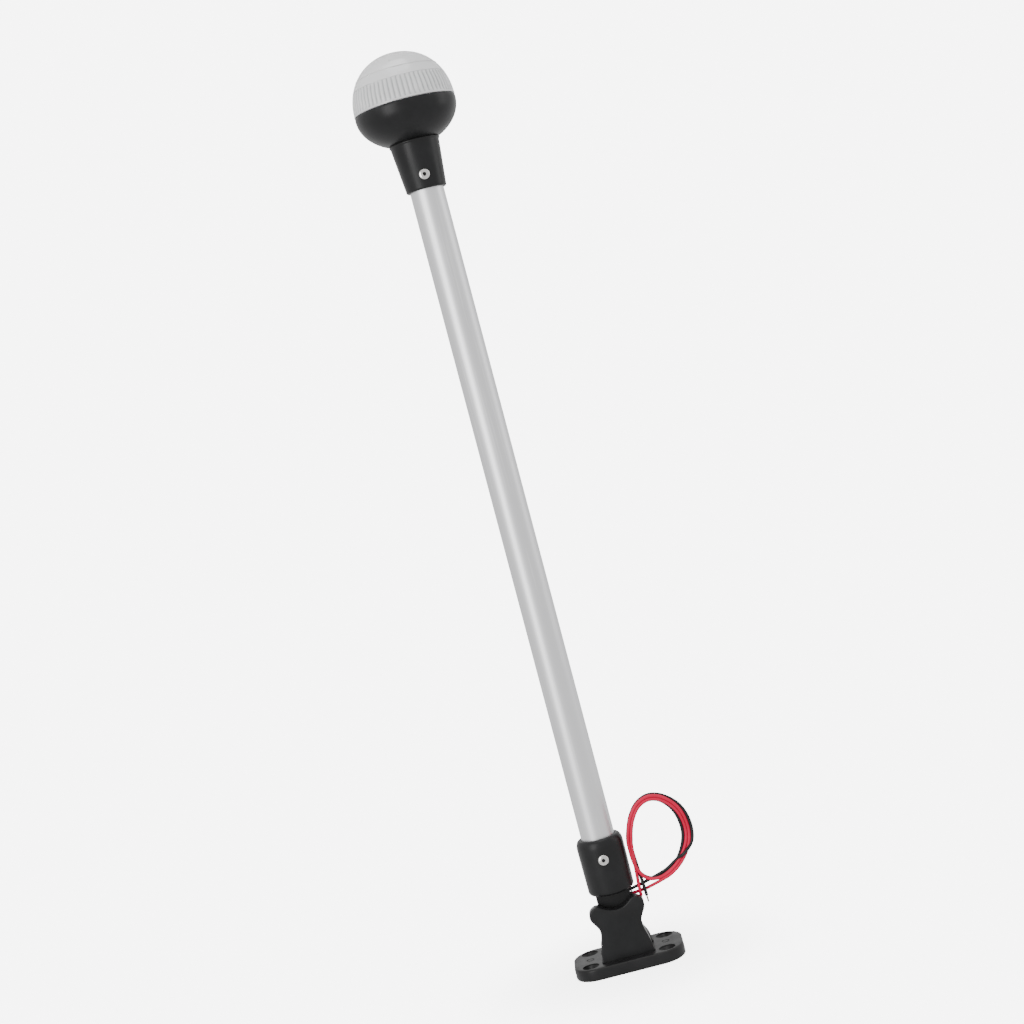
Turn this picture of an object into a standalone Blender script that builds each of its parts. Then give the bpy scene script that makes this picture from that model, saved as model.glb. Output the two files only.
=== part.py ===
"""All-round navigation light on a fold-down pole.

A moulded base is screwed to the deck. Between its two cheeks a tang turns on a cross pin, so
the pole folds down to one side once it has been pulled up a little against a draw spring. The
pole carries a moulded head with a clear globe, and two leads run down it and leave the tang
just under the lower collar. Metres, +Z up, origin at the middle of the base's underside, front
of the light towards -Y. Run it in Blender 4.5.
"""

from math import atan2, cos, hypot, pi, radians, sin, sqrt

import bmesh
import bpy
from mathutils import Matrix, Vector

MM = 0.001

# Fits
FIT = 0.3 * MM  # between two pieces that touch
SLIP = 0.35 * MM  # round a shaft or lead that slides or turns
SWING_FIT = 0.4 * MM  # between the horns and the collar that passes over them
FOLD_CLEARANCE = 1.0 * MM  # between the plate and the folded collar

# Overall
OVERALL_HEIGHT = 609.6 * MM

# Tube
TUBE_DIAMETER = 22.2 * MM
TUBE_WALL = 1.2 * MM

# Base plate
BASE_LENGTH = 73.2 * MM
BASE_WIDTH = 48.0 * MM
PLATE_THICKNESS = 8.0 * MM
PLATE_CORNER = 15.5 * MM
PLATE_EDGE = 1.2 * MM
SCREW_INSET_SHARE = 0.153  # of the plate's length, in from each end
SCREW_SIDE_INSET = 9.0 * MM
SCREW_HEAD_DIAMETER = 11.0 * MM
SCREW_HOLE_DIAMETER = 5.4 * MM
SCREW_SINK = 3.2 * MM

# Cheeks
CHEEK_THICKNESS = 9.1 * MM
FOOT_SHARE = 0.2432  # of the plate's length, from the middle to a cheek's foot
FOOT_RISE = 0.6 * MM  # the upright edge where a cheek leaves the plate
FOOT_COVE = 3.0 * MM
FOOT_STEP = 0.9 * MM
WAIST_HALF = 13.9 * MM
WAIST_HEIGHT = 28.0 * MM
HORN_HALF = 18.4 * MM
HORN_TOP = 44.2 * MM  # on the side the pole folds to
FAR_HORN_TOP = 45.4 * MM
HORN_ROUND = 5.8 * MM
SADDLE_HEIGHT = 40.0 * MM
REAR_ROUND = 12.0 * MM  # the rear cheek's top, about the pin
CHEEK_EDGE = 0.9 * MM

# Tang and pin
TANG_OVERHANG = 0.3 * MM  # past the tube on each side
TANG_THICKNESS = 9.2 * MM
PIN_DIAMETER = 4.8 * MM
PIN_HEAD_DIAMETER = 8.6 * MM
PIN_HEAD_THICKNESS = 1.6 * MM
PIN_BLIND_DEPTH = 5.0 * MM
WASHER_DIAMETER = 14.0 * MM
WASHER_THICKNESS = 0.7 * MM
EYE_DIAMETER = 7.8 * MM
LIFT_TRAVEL = 5.0 * MM

# Draw bolt and spring
BOLT_DIAMETER = 3.2 * MM
SPRING_SEAT = 10.9 * MM  # above the tang's shoulder
SPRING_LENGTH = 21.0 * MM
SPRING_DIAMETER = 7.8 * MM
SPRING_WIRE = 1.0 * MM
SPRING_TURNS = 6
BOLT_WASHER_THICKNESS = 0.8 * MM
BOLT_WASHER_DIAMETER = 9.0 * MM
NUT_ACROSS_CORNERS = 7.6 * MM
NUT_THICKNESS = 3.0 * MM
PLUG_LENGTH = 29.9 * MM

# Lower collar
COLLAR_WALL = 4.4 * MM  # outside the tube
COLLAR_FOOT_STEP = 0.3 * MM
COLLAR_LENGTH = 37.0 * MM
COLLAR_FLANGE = 3.2 * MM
COLLAR_LIP = 1.5 * MM  # outside the tube, at the top
COLLAR_SHOULDER_DROP = 5.7 * MM
COLLAR_FOOT_ROUND = 2.8 * MM

# Rivets
RIVET_SHANK_DIAMETER = 4.0 * MM
RIVET_HEAD_DIAMETER = 7.0 * MM
RIVET_EYE_DIAMETER = 2.2 * MM
RIVET_HEAD_HEIGHT = 1.3 * MM
LOWER_RIVET_RISE = 24.0 * MM  # above the collar's foot
UPPER_RIVET_RISE = 8.6 * MM  # above the head's lower end
UPPER_RIVET_TURN = 6.0  # degrees from the front

# Head
DOME_HEIGHT = 34.3 * MM
DOME_RADIUS = 33.1 * MM
DOME_FULLNESS = 2.12  # 2 is an ellipse, more is squarer
LENS_WALL = 2.0 * MM
RIM_RADIUS = 33.1 * MM
RIM_BAND = 1.6 * MM
BOWL_RADIUS = 33.2 * MM
BOWL_DEPTH = 24.4 * MM
BOWL_WALL = 3.7 * MM
BOWL_FLOOR = 2.4 * MM
FLOOR_SKIN = 0.2 * MM  # of floor below the bowl, over the tube
SOCKET_LENGTH = 53.2 * MM  # from the bowl's middle down to the socket's foot
SOCKET_TOP_WALL = 5.1 * MM  # outside the tube
SOCKET_FOOT_WALL = 2.2 * MM
SOCKET_FOOT_ROUND = 1.2 * MM
LENS_SEAT_DEPTH = 5.0 * MM
SEAL_THICKNESS = 1.0 * MM
LENS_SKIRT_WALL = 1.8 * MM
RIM_WALL = 1.8 * MM

# Lamp
BOARD_RADIUS = 24.0 * MM
BOARD_THICKNESS = 1.6 * MM
BOARD_DROP = 4.0 * MM  # board underside below the bowl's middle
POST_CIRCLE = 18.0 * MM
POST_RADIUS = 3.0 * MM
BOARD_SCREW_DIAMETER = 2.5 * MM
BOARD_SCREW_HEAD = 5.0 * MM
BOARD_SCREW_LENGTH = 8.0 * MM
BOARD_SCREW_COUNT = 3
TOWER_RADIUS = 6.6 * MM
TOWER_HEIGHT = 21.0 * MM
LED_COUNT = 6
LED_SIZE = 3.0 * MM
LED_THICKNESS = 0.9 * MM
LED_RISE = 13.0 * MM  # above the tower's foot
CAP_RADIUS = 9.0 * MM
CAP_THICKNESS = 2.0 * MM

# Leads
LEAD_DIAMETER = 2.2 * MM
LEAD_SPACING = 2.6 * MM
LEAD_TO_TUBE = 1.2 * MM  # from a lead to the tube's bore
CORE_DIAMETER = 1.1 * MM
GROMMET_WALL = 1.0 * MM
BLACK_EXIT_DROP = 2.1 * MM  # below the tang's shoulder
EXIT_SPACING = 2.8 * MM
EXIT_ROOM = 0.5 * MM
BOLT_PROUD = 2.0 * MM  # above the nut

# Worked out from the sizes above
SCREW_INSET = BASE_LENGTH * SCREW_INSET_SHARE
FOOT_HALF = BASE_LENGTH * FOOT_SHARE
SLOT_HALF = TANG_THICKNESS / 2 + WASHER_THICKNESS + 2 * FIT
FRONT_FACE = -SLOT_HALF - CHEEK_THICKNESS
REAR_FACE = SLOT_HALF + CHEEK_THICKNESS
TUBE_RADIUS = TUBE_DIAMETER / 2
TUBE_BORE = TUBE_RADIUS - TUBE_WALL
COLLAR_DIAMETER = TUBE_DIAMETER + 2 * COLLAR_WALL
COLLAR_FOOT_DIAMETER = COLLAR_DIAMETER - 2 * COLLAR_FOOT_STEP
COLLAR_SHOULDER_RADIUS = TUBE_RADIUS + COLLAR_LIP
SOCKET_TOP_RADIUS = TUBE_RADIUS + SOCKET_TOP_WALL
SOCKET_FOOT_RADIUS = TUBE_RADIUS + SOCKET_FOOT_WALL
TANG_WIDTH = TUBE_DIAMETER + 2 * TANG_OVERHANG
PIVOT_HEIGHT = PLATE_THICKNESS + COLLAR_DIAMETER / 2 + FOLD_CLEARANCE
HORN_REACH = HORN_ROUND + hypot(HORN_HALF - HORN_ROUND, HORN_TOP - HORN_ROUND - PIVOT_HEIGHT)
COLLAR_FOOT = PIVOT_HEIGHT + HORN_REACH + SWING_FIT
COLLAR_TOP = COLLAR_FOOT + COLLAR_LENGTH
SHOULDER = COLLAR_FOOT - FIT
PLUG_RADIUS = TUBE_BORE - FIT
TUBE_FOOT = COLLAR_FOOT + COLLAR_FLANGE + FIT
TANG_ROUND = TANG_WIDTH / 2
EYE_RADIUS = EYE_DIAMETER / 2
DRAW_SLOT_HALF = EYE_RADIUS + FIT
DRAW_SLOT_FOOT = PIVOT_HEIGHT - EYE_RADIUS - LIFT_TRAVEL - FIT
DRAW_SLOT_TOP = PIVOT_HEIGHT + EYE_RADIUS + FIT
SPRING_FOOT = SHOULDER + SPRING_SEAT + FIT
SPRING_TOP = SPRING_FOOT + SPRING_LENGTH
BOLT_WASHER_FOOT = SPRING_TOP + FIT
NUT_FOOT = BOLT_WASHER_FOOT + BOLT_WASHER_THICKNESS + FIT
BOLT_TOP = NUT_FOOT + NUT_THICKNESS + BOLT_PROUD
SPRING_POCKET_RADIUS = BOLT_WASHER_DIAMETER / 2 + FIT
LENS_FOOT = OVERALL_HEIGHT - DOME_HEIGHT - FIT
RIM_HEIGHT = LENS_FOOT - FIT
BOWL_MIDDLE = RIM_HEIGHT - RIM_BAND
SOCKET_FOOT = BOWL_MIDDLE - SOCKET_LENGTH
BOWL_INNER_RADIUS = BOWL_RADIUS - BOWL_WALL
BOWL_INNER_DEPTH = BOWL_DEPTH - BOWL_FLOOR
FLOOR_UNDERSIDE = BOWL_MIDDLE - BOWL_DEPTH - FLOOR_SKIN
TUBE_TOP = FLOOR_UNDERSIDE - FIT
SEAT_RADIUS = RIM_RADIUS - RIM_WALL
SEAT_HEIGHT = RIM_HEIGHT - LENS_SEAT_DEPTH
SKIRT_RADIUS = SEAT_RADIUS - FIT
SKIRT_FOOT = SEAT_HEIGHT + SEAL_THICKNESS + 2 * FIT
BOARD_UNDERSIDE = BOWL_MIDDLE - BOARD_DROP
BOARD_TOP = BOARD_UNDERSIDE + BOARD_THICKNESS
POST_TOP = BOARD_UNDERSIDE - FIT
TOWER_FOOT = BOARD_TOP + FIT
TOWER_TOP = TOWER_FOOT + TOWER_HEIGHT
LEAD_RADIUS = LEAD_DIAMETER / 2
LEAD_OFFSET = TUBE_BORE - LEAD_RADIUS - LEAD_TO_TUBE  # from the pole's axis
LEAD_HALF_SPACING = LEAD_SPACING / 2
CHANNEL_HALF = LEAD_HALF_SPACING + LEAD_RADIUS + SLIP
CHANNEL_INNER = LEAD_OFFSET - LEAD_RADIUS - SLIP
BLACK_EXIT = SHOULDER - BLACK_EXIT_DROP
RED_EXIT = BLACK_EXIT - EXIT_SPACING
EXIT_HALF = LEAD_RADIUS + SLIP + EXIT_ROOM
EXIT_TOP = BLACK_EXIT + LEAD_RADIUS + SLIP
EXIT_FOOT = RED_EXIT - LEAD_RADIUS - SLIP
TANG_FACE = TANG_WIDTH / 2
LEAD_END = TANG_FACE - 0.8 * MM
GROMMET_FACE = TANG_FACE + FIT + GROMMET_WALL
LOWER_RIVET_HEIGHT = COLLAR_FOOT + LOWER_RIVET_RISE
UPPER_RIVET_HEIGHT = SOCKET_FOOT + UPPER_RIVET_RISE

# How round things are
ROUND = 36
SMALL_ROUND = 20
WIRE_SIDES = 2  # a curve's bevel resolution

# The free ends of the leads, as points in millimetres. They are given for a tang face and a collar
# foot at these two places, and move with the real ones.
ROUTE_FACE = 11.4 * MM
ROUTE_FOOT = 49.46 * MM
RED_OUT = [
    (11.1, 0.0, 44.3),
    (13.5, 0.0, 44.3),
    (16.0, 0.0, 44.4),
    (18.5, -0.2, 44.7),
    (21.0, -0.6, 45.1),
    (23.5, -1.1, 45.6),
]
BLACK_OUT = [
    (11.1, 0.0, 47.1),
    (13.0, 0.0, 47.3),
    (15.0, 0.0, 47.8),
    (17.0, -0.2, 48.3),
    (19.0, -0.5, 48.7),
]
RED_TAIL = [
    (18.1, -3.6, 52.6),
    (17.9, -3.6, 49.0),
    (17.7, -3.5, 45.4),
    (17.6, -3.4, 41.9),
]
BLACK_TAIL = [
    (20.9, -3.6, 47.9),
    (21.1, -3.6, 44.6),
    (21.2, -3.5, 41.3),
]
# The middle of the loop's bundle, and how thick the bundle is there
LOOP = [
    (37.3, -4.0, 103.4, 3.1),
    (44.7, -3.6, 101.8, 3.2),
    (51.3, -3.2, 96.4, 3.6),
    (55.3, -3.0, 90.0, 4.2),
    (57.2, -3.0, 82.8, 4.8),
    (57.3, -3.0, 75.4, 4.9),
    (55.6, -3.0, 68.9, 4.5),
    (52.2, -3.0, 62.8, 3.9),
    (46.8, -3.0, 56.8, 3.4),
    (40.0, -3.0, 52.2, 3.1),
    (33.4, -3.1, 49.9, 2.9),
    (27.6, -3.4, 50.0, 2.8),
    (22.9, -3.7, 52.7, 2.8),
    (19.8, -4.0, 58.1, 2.7),
    (18.5, -4.2, 65.1, 2.7),
    (18.5, -4.3, 72.2, 2.7),
    (19.4, -4.3, 79.2, 2.8),
    (21.4, -4.2, 86.4, 2.8),
    (24.6, -4.1, 93.6, 2.9),
    (30.0, -4.1, 100.3, 3.0),
]


def clear_scene():
    for found in list(bpy.data.objects):
        bpy.data.objects.remove(found, do_unlink=True)


def collection(name):
    made = bpy.data.collections.new(name)
    bpy.context.scene.collection.children.link(made)
    return made


clear_scene()
PARTS = collection("navigation_light")
CUTTERS = collection("cutters")


def material(name, colour, roughness, metallic=0.0, transmission=0.0):
    made = bpy.data.materials.new(name)
    made.use_nodes = True
    shader = made.node_tree.nodes["Principled BSDF"]
    shader.inputs["Base Color"].default_value = (*colour, 1.0)
    shader.inputs["Roughness"].default_value = roughness
    shader.inputs["Metallic"].default_value = metallic
    shader.inputs["Transmission Weight"].default_value = transmission
    made.diffuse_color = (*colour, 1.0)
    return made


def charcoal_plastic(name):
    return material(name, (0.045, 0.045, 0.048), 0.42)


def satin_aluminium(name):
    return material(name, (0.62, 0.62, 0.63), 0.3, 1.0)


def bright_steel(name):
    return material(name, (0.7, 0.69, 0.67), 0.22, 1.0)


def frosted_clear(name):
    return material(name, (0.86, 0.87, 0.88), 0.25, 0.0, 0.8)


def white_plastic(name):
    return material(name, (0.82, 0.82, 0.8), 0.4)


def black_rubber(name):
    return material(name, (0.02, 0.02, 0.02), 0.7)


def red_sheath(name):
    return material(name, (0.7, 0.03, 0.08), 0.38)


def black_sheath(name):
    return material(name, (0.02, 0.025, 0.025), 0.38)


def tinned_copper(name):
    return material(name, (0.75, 0.6, 0.5), 0.35, 1.0)


def place(name, mesh, finish=None):
    """A new object. With a finish it is a part, and without one it is a cutter."""
    made = bpy.data.objects.new(name, mesh)
    if finish is None:
        CUTTERS.objects.link(made)
        made.hide_render = True
        made.display_type = "WIRE"
        return made
    PARTS.objects.link(made)
    mesh.materials.clear()
    mesh.materials.append(finish(name))
    return made


def mesh_from(name, bm, crease=35.0):
    mesh = bpy.data.meshes.new(name)
    bm.to_mesh(mesh)
    bm.free()
    mesh.shade_smooth()
    mesh.set_sharp_from_angle(angle=radians(crease))
    return mesh


def cut(part, *cutters):
    for cutter in cutters:
        boolean(part, cutter, "DIFFERENCE")
    return part


def join(part, *others):
    for other in others:
        boolean(part, other, "UNION")
    return part


def boolean(part, other, operation):
    modifier = part.modifiers.new(other.name, "BOOLEAN")
    modifier.operation = operation
    modifier.solver = "EXACT"
    modifier.object = other


def arc(middle, radius, start, end, steps):
    """Points (across, up) on an arc, from one angle to the other in degrees."""
    across, up = middle
    angles = [radians(start + (end - start) * i / steps) for i in range(steps + 1)]
    return [(across + radius * cos(a), up + radius * sin(a)) for a in angles]


def turned(name, profile, finish=None, closed=True, steps=ROUND):
    """A solid of revolution about +Z. The profile's outer side runs from top to bottom."""
    bm = bmesh.new()
    points = [bm.verts.new((r, 0.0, z)) for r, z in profile]
    for first, second in zip(points, points[1:]):
        bm.edges.new((first, second))
    if closed:
        bm.edges.new((points[-1], points[0]))
    mesh = bpy.data.meshes.new(name)
    bm.to_mesh(mesh)
    bm.free()
    made = place(name, mesh, finish)
    screw = made.modifiers.new("turn", "SCREW")
    screw.axis = "Z"
    screw.steps = steps
    screw.render_steps = steps
    screw.use_merge_vertices = True
    screw.merge_threshold = 0.00001
    screw.use_smooth_shade = True
    return made


def bar(name, radius, start, end, finish=None, steps=SMALL_ROUND):
    """A round bar between two points."""
    start, end = Vector(start), Vector(end)
    bm = bmesh.new()
    bmesh.ops.create_cone(
        bm,
        cap_ends=True,
        segments=steps,
        radius1=radius,
        radius2=radius,
        depth=(end - start).length,
    )
    turn = Vector((0, 0, 1)).rotation_difference(end - start).to_matrix().to_4x4()
    bm.transform(Matrix.Translation((start + end) / 2) @ turn)
    return place(name, mesh_from(name, bm), finish)


def block(name, low, high, finish=None):
    """A box between two corners."""
    bm = bmesh.new()
    bmesh.ops.create_cube(bm, size=1.0)
    low, high = Vector(low), Vector(high)
    scale = Matrix.Diagonal((*(high - low), 1.0))
    bm.transform(Matrix.Translation((low + high) / 2) @ scale)
    return place(name, mesh_from(name, bm), finish)


def slab(name, outline, low, high, upright=True, finish=None):
    """A flat outline made thick: along Y if it stands upright, and along Z if it lies flat."""
    curve = bpy.data.curves.new(name, "CURVE")
    curve.dimensions = "2D"
    curve.fill_mode = "BOTH"
    curve.extrude = (high - low) / 2
    spline = curve.splines.new("POLY")
    spline.points.add(len(outline) - 1)
    for point, (across, up) in zip(spline.points, outline):
        point.co = (across, up, 0.0, 1.0)
    spline.use_cyclic_u = True
    flat = bpy.data.objects.new(name + "_outline", curve)
    CUTTERS.objects.link(flat)
    bpy.context.view_layer.update()
    mesh = bpy.data.meshes.new_from_object(flat.evaluated_get(bpy.context.evaluated_depsgraph_get()))
    bpy.data.objects.remove(flat, do_unlink=True)
    bm = bmesh.new()
    bm.from_mesh(mesh)
    bpy.data.meshes.remove(mesh)
    bmesh.ops.remove_doubles(bm, verts=bm.verts, dist=0.000001)
    bmesh.ops.dissolve_limit(bm, angle_limit=radians(0.5), verts=bm.verts, edges=bm.edges)
    bmesh.ops.recalc_face_normals(bm, faces=bm.faces)
    middle = (low + high) / 2
    if upright:
        bm.transform(Matrix.Translation((0, middle, 0)) @ Matrix.Rotation(pi / 2, 4, "X"))
    else:
        bm.transform(Matrix.Translation((0, 0, middle)))
    return place(name, mesh_from(name, bm), finish)


def round_edges(part, width, segments=2, angle=35.0):
    bevel = part.modifiers.new("edges", "BEVEL")
    bevel.width = width
    bevel.segments = segments
    bevel.limit_method = "ANGLE"
    bevel.angle_limit = radians(angle)
    bevel.harden_normals = False


def tube_along(name, points, radius, finish, cyclic=False, sides=WIRE_SIDES):
    """A wire: a round section along a chain of points, which may carry a radius each."""
    curve = bpy.data.curves.new(name, "CURVE")
    curve.dimensions = "3D"
    curve.bevel_depth = radius
    curve.bevel_resolution = sides
    curve.use_fill_caps = not cyclic
    spline = curve.splines.new("POLY")
    spline.points.add(len(points) - 1)
    for point, (x, y, z, *share) in zip(spline.points, points):
        point.co = (x, y, z, 1.0)
        point.radius = share[0] if share else 1.0
    spline.use_cyclic_u = cyclic
    made = bpy.data.objects.new(name, curve)
    PARTS.objects.link(made)
    curve.materials.append(finish(name))
    return made


def beside_collar(points):
    """A free wire's points in metres, moved along with the tang's face and the collar's foot."""
    across, up = TANG_FACE - ROUTE_FACE, COLLAR_FOOT - ROUTE_FOOT
    return [(x * MM + across, y * MM, z * MM + up) for x, y, z in points]


def across_square(radius, flats):
    """The half width across flats of a regular polygon with this corner radius."""
    return radius * cos(pi / flats)


# Base


def rounded_rectangle(length, width, corner, steps=7):
    x, y = length / 2 - corner, width / 2 - corner
    return [
        *arc((x, -y), corner, -90, 0, steps),
        *arc((x, y), corner, 0, 90, steps),
        *arc((-x, y), corner, 90, 180, steps),
        *arc((-x, -y), corner, 180, 270, steps),
    ]


def cheek_side(low, high, low_half, high_half, steps):
    """One flank's points, swelling smoothly from one half width to the other."""
    found = []
    for i in range(steps):
        share = i / steps
        ease = (1 - cos(pi * share)) / 2
        found.append((low_half + (high_half - low_half) * ease, low + (high - low) * share))
    return found


def cheek_foot(half, height, steps):
    """The foot buried in the plate, and the flank up to this half width and height."""
    foot = [(FOOT_HALF, PLATE_THICKNESS / 2), (FOOT_HALF, PLATE_THICKNESS + FOOT_RISE)]
    return foot + cheek_side(PLATE_THICKNESS + FOOT_COVE, height, FOOT_HALF - FOOT_STEP, half, steps)


def front_cheek_half(horn_top):
    horn = (HORN_HALF - HORN_ROUND, horn_top - HORN_ROUND)
    half = cheek_foot(WAIST_HALF, WAIST_HEIGHT, 6)
    half += cheek_side(WAIST_HEIGHT, horn[1], WAIST_HALF, HORN_HALF, 6)
    half += arc(horn, HORN_ROUND, 0, 112, 10)
    return half + saddle(half[-1], 5)


def front_cheek_outline():
    left = [(-x, z) for x, z in reversed(front_cheek_half(HORN_TOP))]
    return [*front_cheek_half(FAR_HORN_TOP), (0.0, SADDLE_HEIGHT), *left]


def saddle(start, steps):
    """From a horn down to the middle of the saddle, without the middle point."""
    x, z = start
    found = []
    for i in range(1, steps):
        share = i / steps
        found.append((x * (1 - share), SADDLE_HEIGHT + (z - SADDLE_HEIGHT) * (1 - share) ** 2))
    return found


def rear_cheek_outline():
    right = cheek_foot(REAR_ROUND, PIVOT_HEIGHT, 5)
    right += arc((0.0, PIVOT_HEIGHT), REAR_ROUND, 0, 82, 8)
    left = [(-x, z) for x, z in reversed(right)]
    return [*right, *left]


def screw_places():
    x = BASE_LENGTH / 2 - SCREW_INSET
    y = BASE_WIDTH / 2 - SCREW_SIDE_INSET
    return [(x, y), (-x, y), (-x, -y), (x, -y)]


def screw_hole(number, x, y):
    head, hole, above = SCREW_HEAD_DIAMETER / 2, SCREW_HOLE_DIAMETER / 2, 1 * MM
    profile = [
        (0.0, PLATE_THICKNESS + above),
        (head, PLATE_THICKNESS + above),
        (head, PLATE_THICKNESS - 0.4 * MM),
        (hole, PLATE_THICKNESS - SCREW_SINK),
        (hole, -above),
        (0.0, -above),
    ]
    made = turned(f"screw_hole_{number}", profile, closed=False, steps=24)
    made.location = (x, y, 0.0)
    return made


def make_base_bracket():
    outline = rounded_rectangle(BASE_LENGTH, BASE_WIDTH, PLATE_CORNER)
    plate = slab("base_bracket", outline, 0.0, PLATE_THICKNESS, False, charcoal_plastic)
    round_edges(plate, PLATE_EDGE, 3)
    front = slab("front_cheek", front_cheek_outline(), FRONT_FACE, -SLOT_HALF)
    rear = slab("rear_cheek", rear_cheek_outline(), SLOT_HALF, REAR_FACE)
    round_edges(front, CHEEK_EDGE, 2)
    round_edges(rear, CHEEK_EDGE, 2)
    join(plate, front, rear)
    bore = bar(
        "pin_bore",
        PIN_DIAMETER / 2 + SLIP,
        (0, -SLOT_HALF - PIN_BLIND_DEPTH - FIT, PIVOT_HEIGHT),
        (0, REAR_FACE + 1 * MM, PIVOT_HEIGHT),
    )
    cut(plate, bore)
    for number, (x, y) in enumerate(screw_places(), 1):
        cut(plate, screw_hole(number, x, y))
    return plate


def make_hinge_pin():
    shank, head = PIN_DIAMETER / 2, PIN_HEAD_DIAMETER / 2
    under_head = REAR_FACE + FIT
    top = under_head + PIN_HEAD_THICKNESS
    profile = [
        (0.0, top),
        (head - 0.6 * MM, top),
        (head, top - 0.6 * MM),
        (head, under_head),
        (shank, under_head),
        (shank, -SLOT_HALF - PIN_BLIND_DEPTH),
        (0.0, -SLOT_HALF - PIN_BLIND_DEPTH),
    ]
    pin = turned("hinge_pin", profile, bright_steel, closed=False, steps=SMALL_ROUND)
    pin.location = (0.0, 0.0, PIVOT_HEIGHT)
    pin.rotation_euler = (-pi / 2, 0.0, 0.0)
    return pin


def make_washer(name, near):
    inner, outer = PIN_DIAMETER / 2 + SLIP, WASHER_DIAMETER / 2
    profile = [
        (outer, WASHER_THICKNESS),
        (outer, 0.0),
        (inner, 0.0),
        (inner, WASHER_THICKNESS),
    ]
    washer = turned(name, profile, white_plastic, steps=28)
    washer.location = (0.0, near, PIVOT_HEIGHT)
    washer.rotation_euler = (-pi / 2, 0.0, 0.0)
    return washer


# Draw bolt


def make_eye_bolt():
    half = TANG_THICKNESS / 2
    bolt = bar(
        "eye_bolt",
        EYE_RADIUS,
        (0, -half, PIVOT_HEIGHT),
        (0, half, PIVOT_HEIGHT),
        bright_steel,
        24,
    )
    shank = bar("eye_shank", BOLT_DIAMETER / 2, (0, 0, PIVOT_HEIGHT), (0, 0, BOLT_TOP), steps=16)
    join(bolt, shank)
    eye = bar(
        "eye_bore",
        PIN_DIAMETER / 2 + SLIP,
        (0, -half - 1 * MM, PIVOT_HEIGHT),
        (0, half + 1 * MM, PIVOT_HEIGHT),
    )
    return cut(bolt, eye)


def make_lift_spring():
    radius = (SPRING_DIAMETER - SPRING_WIRE) / 2
    low = SPRING_FOOT + SPRING_WIRE / 2
    rise = SPRING_LENGTH - SPRING_WIRE
    count = 12 * SPRING_TURNS
    points = []
    for i in range(count + 1):
        turn = 2 * pi * i / 12
        points.append((radius * cos(turn), radius * sin(turn), low + rise * i / count))
    return tube_along("lift_spring", points, SPRING_WIRE / 2, bright_steel, sides=1)


def make_bolt_washer():
    outer, inner = BOLT_WASHER_DIAMETER / 2, BOLT_DIAMETER / 2 + SLIP
    top = BOLT_WASHER_FOOT + BOLT_WASHER_THICKNESS
    profile = [(outer, top), (outer, BOLT_WASHER_FOOT), (inner, BOLT_WASHER_FOOT), (inner, top)]
    return turned("spring_washer", profile, bright_steel, steps=24)


def make_bolt_nut():
    nut = bar(
        "lock_nut",
        NUT_ACROSS_CORNERS / 2,
        (0, 0, NUT_FOOT),
        (0, 0, NUT_FOOT + NUT_THICKNESS),
        bright_steel,
        6,
    )
    thread = bar(
        "nut_bore",
        BOLT_DIAMETER / 2 + FIT,
        (0, 0, NUT_FOOT - 1 * MM),
        (0, 0, NUT_FOOT + NUT_THICKNESS + 1 * MM),
        steps=16,
    )
    return cut(nut, thread)


# Tang, collar and tube


def tang_outline():
    """The flat tang: square shoulders above, round below, about the pin."""
    round_end = arc((0.0, PIVOT_HEIGHT), TANG_ROUND, 180, 360, 20)
    return [*round_end, (TANG_FACE, SHOULDER), (-TANG_FACE, SHOULDER)]


def draw_slot_outline():
    upper = arc((0.0, DRAW_SLOT_TOP - DRAW_SLOT_HALF), DRAW_SLOT_HALF, 0, 180, 8)
    lower = arc((0.0, DRAW_SLOT_FOOT + DRAW_SLOT_HALF), DRAW_SLOT_HALF, 180, 360, 8)
    return [*upper, *lower]


def make_tang():
    half = TANG_THICKNESS / 2
    tang = slab("tang", tang_outline(), -half, half, True, charcoal_plastic)
    round_edges(tang, 0.5 * MM, 1)
    plug_top = SHOULDER + PLUG_LENGTH
    plug = bar("plug", PLUG_RADIUS, (0, 0, SHOULDER - 3 * MM), (0, 0, plug_top), steps=ROUND)
    trim = block(
        "plug_trim",
        (-TANG_WIDTH, -TANG_WIDTH, SHOULDER - 6 * MM),
        (TANG_WIDTH, -half - 0.02 * MM, SHOULDER),
    )
    trim_rear = block(
        "plug_trim_rear",
        (-TANG_WIDTH, half + 0.02 * MM, SHOULDER - 6 * MM),
        (TANG_WIDTH, TANG_WIDTH, SHOULDER),
    )
    cut(plug, trim, trim_rear)
    join(tang, plug)
    slot = slab("draw_slot", draw_slot_outline(), -half - 1 * MM, half + 1 * MM)
    hole = bar(
        "bolt_hole",
        BOLT_DIAMETER / 2 + SLIP,
        (0, 0, PIVOT_HEIGHT),
        (0, 0, plug_top + 1 * MM),
    )
    pocket = bar(
        "spring_pocket",
        SPRING_POCKET_RADIUS,
        (0, 0, SHOULDER + SPRING_SEAT),
        (0, 0, plug_top + 1 * MM),
        steps=28,
    )
    cut(tang, slot, hole, pocket, *lead_channels(plug_top), lower_rivet_bore())
    return tang


def lead_channels(top):
    open_side = block(
        "lead_channel",
        (CHANNEL_INNER, -CHANNEL_HALF, SHOULDER + 1.6 * MM),
        (TUBE_RADIUS, CHANNEL_HALF, top + 1 * MM),
    )
    down = block(
        "lead_drop",
        (CHANNEL_INNER, -CHANNEL_HALF, EXIT_FOOT),
        (LEAD_OFFSET + LEAD_RADIUS + SLIP, CHANNEL_HALF, SHOULDER + 2 * MM),
    )
    out = block(
        "lead_exit",
        (CHANNEL_INNER, -EXIT_HALF, EXIT_FOOT),
        (TANG_FACE + 1 * MM, EXIT_HALF, EXIT_TOP),
    )
    return open_side, down, out


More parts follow.
